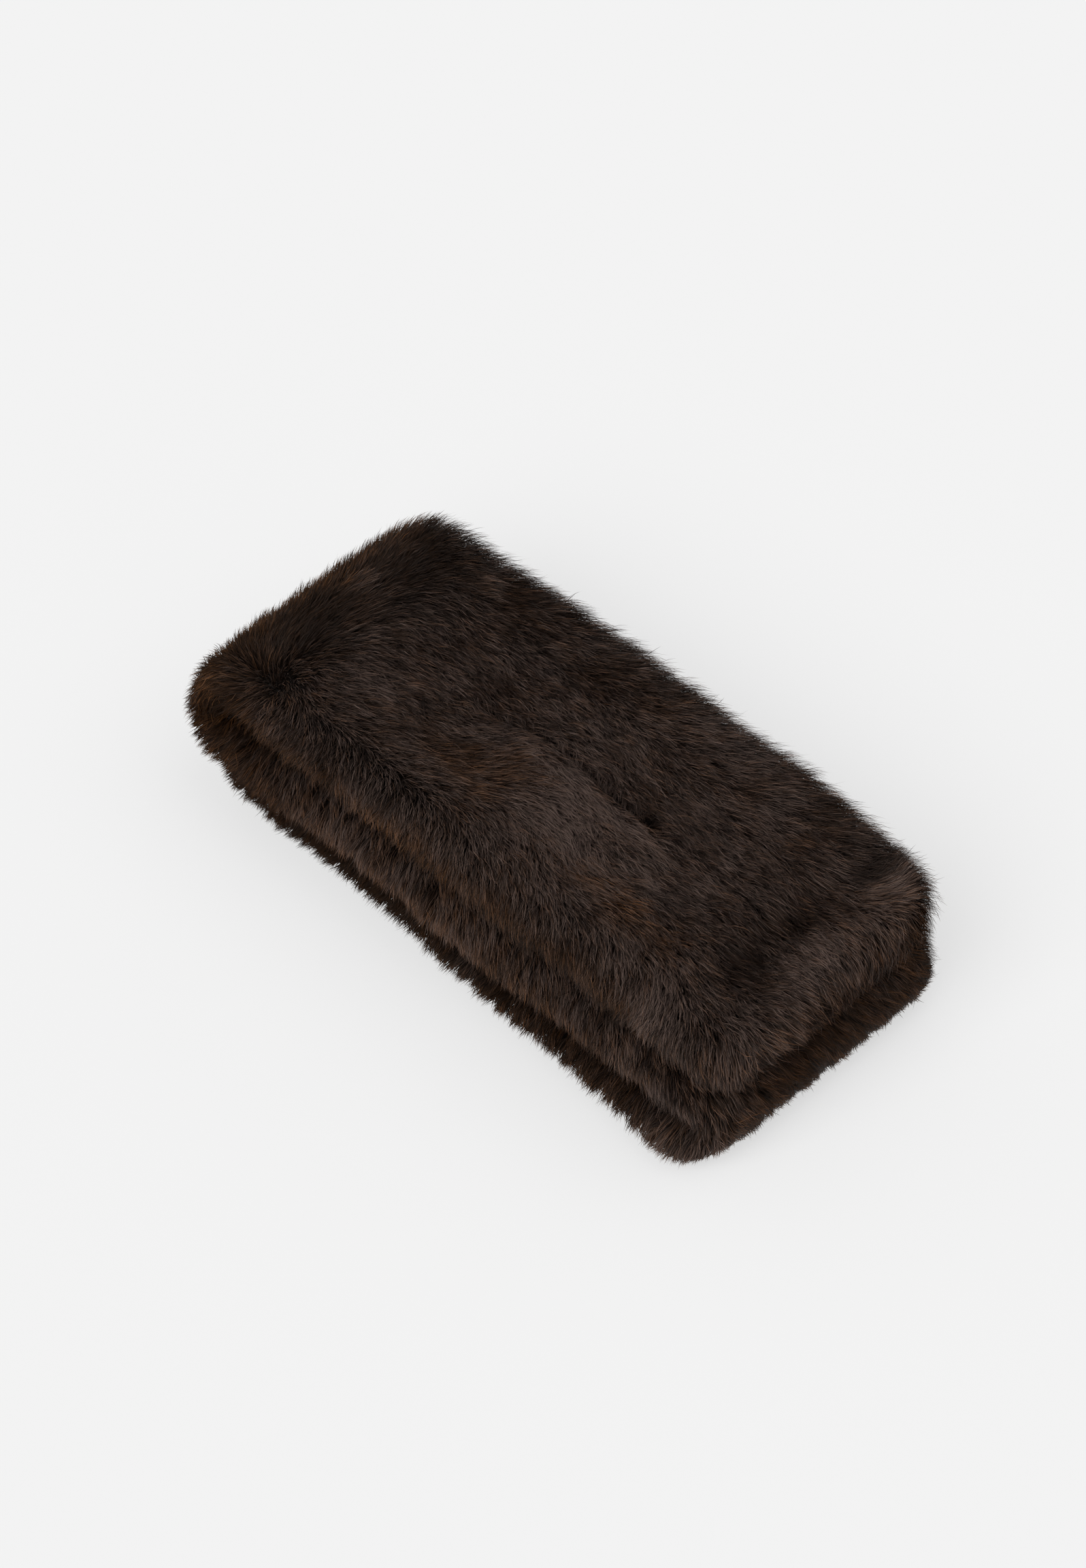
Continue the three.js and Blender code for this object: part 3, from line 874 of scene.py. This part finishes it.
def rooted_points(w, given):
    """Points strewn over the cloth as densely as it is covered, each with its root and its chances."""
    density = w.times(w.read("cover"), given["Strands per square metre"])
    strewn = {"Mesh": given["Geometry"], "Density": density, "Seed": given["Seed"]}
    points = w.node("GeometryNodeDistributePointsOnFaces", strewn, distribute_method="RANDOM").outputs[0]
    points = w.store(points, "root", w.node("GeometryNodeInputPosition").outputs[0], "FLOAT_VECTOR")
    for step, name in enumerate(("chance", "whim")):
        seed = w.plus(given["Seed"], CHANCE_SEED + step)
        draw = w.node("FunctionNodeRandomValue", {"Seed": seed}, data_type="FLOAT_VECTOR").outputs[0]
        points = w.store(points, name, draw, "FLOAT_VECTOR")
    return points


def ribbons_on(w, points, joints):
    """A flat ribbon with a pointed tip for each point, which knows its own run and width."""
    ribbon = w.node("GeometryNodeMeshGrid", {"Vertices X": 2, "Vertices Y": joints}).outputs[0]
    across, along, _ = w.parts(w.node("GeometryNodeInputPosition").outputs[0])
    at_tip = w.number("GREATER_THAN", along, NEAR_TIP)
    to_middle = w.node("ShaderNodeCombineXYZ", {0: w.times(across, -1.0)}).outputs[0]
    moved = {"Geometry": ribbon, "Selection": at_tip, "Offset": to_middle}
    ribbon = w.node("GeometryNodeSetPosition", moved).outputs[0]
    merged = {"Geometry": ribbon, "Distance": MERGE_DISTANCE}
    ribbon = w.node("GeometryNodeMergeByDistance", merged).outputs[0]
    ribbon = w.store(ribbon, "across", across)
    ribbon = w.store(ribbon, "along", w.plus(along, 0.5))
    strands = w.node("GeometryNodeInstanceOnPoints", {"Points": points, "Instance": ribbon}).outputs[0]
    return w.node("GeometryNodeRealizeInstances", {"Geometry": strands}).outputs[0]


def strand_heading(w, given, comb, wildness, lock, root):
    """Which way a strand runs: as combed, and astray with its patch, its lock and by itself."""
    noise = {"Vector": root, "Scale": DRIFT_SCALE, "Detail": 1.0}
    drift = w.scaled(w.centred(w.node("ShaderNodeTexNoise", noise).outputs["Color"]), given["Waywardness"])
    own_way = w.scaled(w.centred(lock["Color"]), given["Lock waywardness"])
    stray = w.scaled(w.centred(w.read("whim", "FLOAT_VECTOR")), wildness)
    return w.vector("NORMALIZE", w.total(comb, w.scaled(drift, DRIFT_STRENGTH), own_way, stray))


def strand_places(w, given, lock, root):
    """Where the points of a strand lie: combed, drawn into its lock, bent over the form and tapered."""
    rise, comb = w.read("rise", "FLOAT_VECTOR"), w.read("comb", "FLOAT_VECTOR")
    t, side = w.read("along"), w.read("across")
    chance = w.parts(w.read("chance", "FLOAT_VECTOR"))
    wildness = w.between(w.power(chance[2], WILDNESS_POWER), *WILDNESS_RANGE)
    heading = strand_heading(w, given, comb, wildness, lock, root)

    parted = w.between(w.vector("LENGTH", comb), *PARTED_RANGE)
    length = w.times(w.between(chance[0], *LENGTH_RANGE), w.read("long"), given["Strand length"], parted)
    run = w.scaled(heading, w.times(length, t))
    flat = w.number("SUBTRACT", 1.0, w.power(w.number("SUBTRACT", 1.0, t), BEND_POWER))
    stand = w.times(flat, w.times(w.between(chance[1], *STAND_RANGE), given["Stand"]))
    pull = w.times(w.power(t, PULL_POWER), given["Lock pull"])
    gather = w.scaled(w.vector("SUBTRACT", lock["Position"], root), pull)
    free = w.total(root, run, w.scaled(rise, stand), gather)

    target = {"Geometry": given["Geometry"], "Sample Position": free}
    near = w.node("GeometryNodeProximity", target, target_element="FACES").outputs["Position"]
    sample = {"Mesh": given["Geometry"], "Value": rise, "Sample Position": free}
    above = w.node("GeometryNodeSampleNearestSurface", sample, data_type="FLOAT_VECTOR").outputs[0]
    clung = w.total(near, w.scaled(above, stand))
    mixed = {"Factor": given["Cling"], 4: free, 5: clung}
    bent = w.node("ShaderNodeMix", mixed, data_type="VECTOR").outputs[1]

    outward = w.vector("NORMALIZE", above)
    flank = w.vector("NORMALIZE", w.vector("CROSS_PRODUCT", heading, outward))
    roll = w.between(chance[2], *ROLL_RANGE)
    flank = w.vector("NORMALIZE", w.total(flank, w.scaled(outward, roll)))
    taper = w.number("SUBTRACT", ROOT_WIDTH, w.power(t, TAPER_POWER))
    half = w.times(side, taper, given["Strand width"])
    x, y, z = w.parts(w.total(bent, w.scaled(flank, half)))
    z = w.number("MAXIMUM", z, FLOOR_CLEARANCE)
    return w.node("ShaderNodeCombineXYZ", {0: x, 1: y, 2: z}).outputs[0]


def texture_place(w, lock, root):
    """Where a strand lies in its texture: across, its tone and warmth, and up, its run from the root."""
    noise = {"Vector": root, "Scale": PATCH_SCALE, "Detail": 2.0}
    patch = w.node("ShaderNodeTexNoise", noise).outputs[0]
    lock_chances = w.parts(lock["Color"])
    strand_chances = w.parts(w.read("whim", "FLOAT_VECTOR"))
    steps = []
    for index, (name, count) in enumerate((("light", TONE_STEPS), ("warm", WARMTH_STEPS))):
        value = w.read(name)
        for chance, spread in zip((patch, lock_chances[index], strand_chances[index]), STRAYING[name]):
            value = w.plus(value, w.between(chance, -spread / 2, spread / 2))
        value = w.number("MINIMUM", w.number("MAXIMUM", value, 0.0), BELOW_ONE)
        steps.append(w.number("FLOOR", w.times(value, float(count))))
    column = w.number("MULTIPLY_ADD", steps[0], float(WARMTH_STEPS), steps[1])
    column = w.plus(column, w.number("MULTIPLY_ADD", w.read("across"), 0.5, 0.5))
    u = w.number("DIVIDE", column, float(TONE_STEPS * WARMTH_STEPS))
    v = w.between(w.read("along"), *COLUMN_RUN)
    return w.node("ShaderNodeCombineXYZ", {0: u, 1: v}).outputs[0]


def pile_tree():
    """A Geometry Nodes tree that grows tapered, combed strands in locks on a surface."""
    tree = bpy.data.node_groups.new("Pile", "GeometryNodeTree")
    tree.interface.new_socket("Geometry", in_out="INPUT", socket_type="NodeSocketGeometry")
    for kind, names in PILE_INPUTS.items():
        for name in names:
            tree.interface.new_socket(name, in_out="INPUT", socket_type="NodeSocket" + kind)
    tree.interface.new_socket("Geometry", in_out="OUTPUT", socket_type="NodeSocketGeometry")
    w = Wiring(tree)
    given = w.node("NodeGroupInput").outputs
    strands = ribbons_on(w, rooted_points(w, given), given["Joints"])
    root = w.read("root", "FLOAT_VECTOR")
    locks = {"Vector": root, "Scale": w.number("DIVIDE", 1.0, given["Lock size"])}
    lock = w.node("ShaderNodeTexVoronoi", locks).outputs
    placed = {"Geometry": strands, "Position": strand_places(w, given, lock, root)}
    strands = w.node("GeometryNodeSetPosition", placed).outputs[0]
    strands = w.store(strands, "OFBake", texture_place(w, lock, root), "FLOAT2", "CORNER")
    strands = w.node("GeometryNodeSetShadeSmooth", {"Geometry": strands}).outputs[0]
    finished = w.node("GeometryNodeSetMaterial", {"Geometry": strands, "Material": given["Fur"]})
    w.join(finished.outputs[0], w.node("NodeGroupOutput").inputs[0])
    return tree


def set_input(modifier, name, value):
    """Sets a modifier's input by the socket's identifier."""
    for item in modifier.node_group.interface.items_tree:
        if item.item_type == "SOCKET" and item.in_out == "INPUT" and item.name == name:
            modifier[item.identifier] = value
            return
    raise RuntimeError(f"the tree has no input named {name}")


def grow_coat(name, coat, surface, tree, material, settings):
    """One coat of strands as a plain mesh."""
    kind = COAT_KINDS[coat["coat"]]
    piece = link_object(name, surface.copy())
    modifier = piece.modifiers.new("Pile", "NODES")
    modifier.node_group = tree
    values = {
        "Strands per square metre": coat["strands"] * settings.fullness / covered_area(surface),
        "Strand length": kind["length"] * settings.length_share,
        "Strand width": kind["width"],
        "Stand": kind["stand"],
        "Lock size": kind["lock"],
        "Lock pull": kind["pull"],
        "Waywardness": settings.waywardness,
        "Lock waywardness": settings.lock_waywardness,
        "Cling": settings.cling,
        "Joints": coat["joints"],
        "Seed": coat["seed"],
        "Fur": material,
    }
    for key, value in values.items():
        set_input(modifier, key, value)
    settled(piece)
    for used in CARRIED:
        attribute = piece.data.attributes.get(used)
        if attribute is not None:
            piece.data.attributes.remove(attribute)
    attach(piece, "root")
    return piece


def new_material(name, even):
    """A material with the values that are even all over it, the wiring of its nodes, its shader's inputs."""
    material = bpy.data.materials.new(name)
    material.use_nodes = True
    shader = material.node_tree.nodes["Principled BSDF"].inputs
    for socket, value in even.items():
        shader[socket].default_value = value
    return material, Wiring(material.node_tree), shader


def strand_material(settings):
    """Strands: dark at the root with painted shade deep in the pile and lighter towards the tip, each of its
    own lightness and warmth, with painted light in the lightness.
    """
    even = {"Roughness": 0.5, "Specular IOR Level": 0.09, "Specular Tint": (1.0, 0.84, 0.74, 1.0)}
    material, w, shader = new_material("fur_strands", even)
    u, along, _ = w.parts(w.node("ShaderNodeUVMap", uv_map="OFBake").outputs[0])
    column = w.number("FLOOR", w.times(u, float(TONE_STEPS * WARMTH_STEPS)))
    tone_step = w.number("FLOOR", w.number("DIVIDE", w.plus(column, 0.5), float(WARMTH_STEPS)))
    warmth_step = w.number("SUBTRACT", column, w.times(tone_step, float(WARMTH_STEPS)))
    warmth = w.number("DIVIDE", warmth_step, float(WARMTH_STEPS - 1))
    tone = w.number("DIVIDE", tone_step, float(TONE_STEPS - 1))
    colours = {"Factor": warmth, 6: (*settings.cool_colour, 1.0), 7: (*settings.warm_colour, 1.0)}
    mixed = w.node("ShaderNodeMix", colours, data_type="RGBA").outputs[2]
    # Painted shade towards the root.
    rooted = w.between(w.power(along, ROOT_PAINTED_SHADE_POWER), settings.root_painted_shade, 1.0)
    shade = w.power(2.0, w.between(tone, -settings.tone_spread, settings.tone_spread))
    w.join(w.scaled(mixed, w.times(rooted, shade)), shader["Base Color"])
    return material


def backing_material(settings):
    """The cloth under the pile: matted dark fibres, seen only where the strands part."""
    material, w, shader = new_material("fur_backing", {"Roughness": 0.85})
    place = w.node("ShaderNodeTexCoord").outputs["Object"]
    drawn = w.node("ShaderNodeMapping", {"Vector": place, "Scale": FIBRE_SCALE}).outputs[0]
    fibres = w.node("ShaderNodeTexNoise", {"Vector": drawn, "Scale": 1.0, "Detail": 4.0}).outputs[0]
    ramp = w.node("ShaderNodeValToRGB", {0: fibres})
    for stop, (position, share) in zip(ramp.color_ramp.elements, FIBRE_SHADES):
        stop.position = position
        stop.color = (*(np.array(settings.warm_colour) * share), 1.0)
    bump = w.node("ShaderNodeBump", {"Height": fibres, "Strength": 0.8, "Distance": 0.0012})
    w.join(ramp.outputs[0], shader["Base Color"])
    w.join(bump.outputs[0], shader["Normal"])
    return material


def floor_material(settings):
    """A plain pale floor."""
    even = {
        "Base Color": (*settings.floor_colour, 1.0),
        "Roughness": 1.0,
        "Specular IOR Level": 0.0,
        "Emission Color": (1.0, 1.0, 1.0, 1.0),
        "Emission Strength": settings.floor_glow,
    }
    return new_material("pale_floor", even)[0]


class FurWrapCloth(bpy.types.PropertyGroup):
    """Sizes of the cloth under the pile."""

    pile_depth: FloatProperty(
        name="Pile depth",
        description="How far the cloth lies inside the tips of the pile where it shows",
        default=0.0085,
        min=0.002,
        unit="LENGTH",
    )
    hidden_depth: FloatProperty(
        name="Pressed pile depth",
        description="How far the cloth lies inside the tips of the pile between two layers",
        default=0.006,
        unit="LENGTH",
    )
    floor_depth: FloatProperty(
        name="Pile depth underneath",
        description="How thick the flattened pile is that the wrap rests on",
        default=0.0025,
        unit="LENGTH",
    )
    cloth_thickness: FloatProperty(
        name="Cloth thickness",
        description="Thickness of the knitted backing that carries the pile",
        default=0.0012,
        unit="LENGTH",
    )


class FurWrapPile(bpy.types.PropertyGroup):
    """Sizes and colours of the pile."""

    fullness: FloatProperty(
        name="Fullness",
        description="Share of the full number of strands that is grown",
        default=1.0,
        min=0.05,
        max=1.0,
        subtype="FACTOR",
    )
    length_share: FloatProperty(
        name="Length",
        description="Length of the strands as a share of their usual length",
        default=1.0,
        min=0.3,
        max=1.5,
    )
    waywardness: FloatProperty(
        name="Waywardness",
        description="How far whole patches of pile stray from the way it is combed",
        default=0.22,
        min=0.0,
        max=1.0,
        subtype="FACTOR",
    )
    lock_waywardness: FloatProperty(
        name="Waywardness of locks",
        description="How far each single lock strays from the way the pile is combed",
        default=0.55,
        min=0.0,
        max=2.0,
    )
    cling: FloatProperty(
        name="Cling",
        description="How closely strands follow the form below them",
        default=0.62,
        min=0.0,
        max=1.0,
        subtype="FACTOR",
    )
    warm_colour: FloatVectorProperty(
        name="Warm colour",
        description="Colour near the tip of the warmest brown strands",
        subtype="COLOR",
        default=(0.080, 0.034, 0.0125),
    )
    cool_colour: FloatVectorProperty(
        name="Cool colour",
        description="Colour near the tip of the greyest strands",
        subtype="COLOR",
        default=(0.066, 0.046, 0.0385),
    )
    # Painted shade deep in the pile: strands darken towards the root.
    root_painted_shade: FloatProperty(
        name="Root shade",
        description="How light a strand is at its root, as a share of its tip",
        default=0.06,
        min=0.0,
        max=1.0,
        subtype="FACTOR",
    )
    tone_spread: FloatProperty(
        name="Tone spread",
        description="How many times a strand's lightness can double or halve",
        default=1.7,
        min=0.0,
        max=3.0,
    )


class FurWrapStage(bpy.types.PropertyGroup):
    """Floor and light."""

    floor_size: FloatProperty(
        name="Floor size",
        description="Side of the square floor",
        default=8.0,
        unit="LENGTH",
    )
    floor_colour: FloatVectorProperty(
        name="Floor colour",
        description="Colour of the plain floor",
        subtype="COLOR",
        default=(0.31, 0.31, 0.31),
    )
    floor_glow: FloatProperty(
        name="Floor glow",
        description="How much the floor shines by itself, which keeps shadows on it faint",
        default=0.57,
    )
    key_strength: FloatProperty(
        name="Key light",
        description="Strength of the wide light from above and in front of the long near side",
        default=1.9,
    )
    world_strength: FloatProperty(
        name="Surrounding light",
        description="Strength of the even light from all round",
        default=0.42,
    )


class FURWRAP_OT_cloth(bpy.types.Operator):
    """Make the cloth of each stretch as a thin shell on its solid's form"""

    bl_idname = "furwrap.cloth"
    bl_label = "Make the cloth"

    def execute(self, context):
        settings = context.scene.fur_wrap_cloth
        material = backing_material(context.scene.fur_wrap_pile)
        for layer, row in STRETCHES.items():
            mesh = mesh_of(layer + "_cloth", layer, root_grid(layer, settings))
            mesh.materials.append(material)
            piece = link_object(layer + "_cloth", mesh)
            wall = piece.modifiers.new("Wall", "SOLIDIFY")
            wall.thickness = settings.cloth_thickness
            wall.offset = -1.0
            settled(piece)
            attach(piece, "root")
            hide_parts(row["node"])
        return {"FINISHED"}


class FURWRAP_OT_pile(bpy.types.Operator):
    """Grow the pile on each stretch of cloth"""

    bl_idname = "furwrap.pile"
    bl_label = "Grow the pile"

    def execute(self, context):
        cloth, pile = context.scene.fur_wrap_cloth, context.scene.fur_wrap_pile
        tree = pile_tree()
        material = strand_material(pile)
        for layer in STRETCHES:
            surface = growing_surface(layer, cloth)
            coats = [
                grow_coat(name, coat, surface, tree, material, pile)
                for name, coat in COATS.items()
                if coat["stretch"] == layer
            ]
            roots = root_grid(layer, cloth)
            bpy.data.meshes.remove(surface)
        return {"FINISHED"}


class FURWRAP_OT_stage(bpy.types.Operator):
    """Set up the pale floor, the soft light and the camera"""

    bl_idname = "furwrap.stage"
    bl_label = "Set up the stage"

    def execute(self, context):
        settings = context.scene.fur_wrap_stage
        self.make_floor(settings)
        self.make_light(context, settings)
        self.make_camera(context)
        return {"FINISHED"}

    def make_floor(self, settings):
        half = settings.floor_size / 2
        corners = ((-half, -half), (half, -half), (half, half), (-half, half))
        mesh = bpy.data.meshes.new("floor")
        mesh.from_pydata([(x, y, -FLOOR_GAP) for x, y in corners], [], [(0, 1, 2, 3)])
        mesh.materials.append(floor_material(settings))
        link_object("floor", mesh)

    def make_light(self, context, settings):
        world = bpy.data.worlds.new("studio")
        world.use_nodes = True
        background = world.node_tree.nodes["Background"]
        background.inputs["Color"].default_value = (1.0, 1.0, 1.0, 1.0)
        background.inputs["Strength"].default_value = settings.world_strength
        context.scene.world = world
        for name, place, width, share in LIGHTS:
            light = bpy.data.lights.new(name, "SUN")
            light.angle = math.radians(width)
            light.energy = settings.key_strength * share
            link_aimed(name, light, place, place)

    def make_camera(self, context):
        a, e = VIEW_AZIMUTH, VIEW_ELEVATION
        back = Vector((math.sin(a) * math.cos(e), -math.cos(a) * math.cos(e), math.sin(e)))
        right = Vector((math.cos(a), math.sin(a), 0.0))
        up = back.cross(right)
        pixels_right, pixels_down = CENTRE_IN_IMAGE
        middle = Vector(middle_of_outline())
        aim = Vector(VIEW_CENTRE) - middle + (up * pixels_down - right * pixels_right) / PIXELS_PER_METRE
        camera = bpy.data.cameras.new("camera")
        camera.sensor_fit = "HORIZONTAL"
        camera.sensor_width = SENSOR_WIDTH
        camera.lens = PIXELS_PER_METRE * VIEW_DISTANCE / IMAGE_WIDTH * SENSOR_WIDTH
        camera.clip_end = CAMERA_FAR
        context.scene.camera = link_aimed("camera", camera, aim + back * VIEW_DISTANCE, back)
        context.scene.view_settings.view_transform = "Standard"


SETTINGS = {"fur_wrap_cloth": FurWrapCloth, "fur_wrap_pile": FurWrapPile, "fur_wrap_stage": FurWrapStage}
STEPS = (FURWRAP_OT_cloth, FURWRAP_OT_pile, FURWRAP_OT_stage)


class FURWRAP_PT_panel(bpy.types.Panel):
    """Lists the steps and their sizes"""

    bl_label = "Fur wrap"
    bl_idname = "FURWRAP_PT_panel"
    bl_space_type = "VIEW_3D"
    bl_region_type = "UI"
    bl_category = "Fur wrap"

    def draw(self, context):
        for step, group in zip(STEPS, SETTINGS):
            settings = getattr(context.scene, group)
            box = self.layout.box()
            for name in settings.bl_rna.properties.keys():
                if name not in ("rna_type", "name"):
                    box.prop(settings, name)
            box.operator(step.bl_idname)


CLASSES = (*SETTINGS.values(), *STEPS, FURWRAP_PT_panel)


def register():
    """Registers the classes and the settings that they read."""
    for item in CLASSES:
        bpy.utils.register_class(item)
    for name, group in SETTINGS.items():
        setattr(bpy.types.Scene, name, PointerProperty(type=group))


def unregister():
    """Takes the settings and the classes away again."""
    for name in SETTINGS:
        delattr(bpy.types.Scene, name)
    for item in reversed(CLASSES):
        bpy.utils.unregister_class(item)


def main():
    register()
    bpy.ops.furwrap.cloth()
    bpy.ops.furwrap.pile()
    bpy.ops.furwrap.stage()


if __name__ == "__main__":
    main()
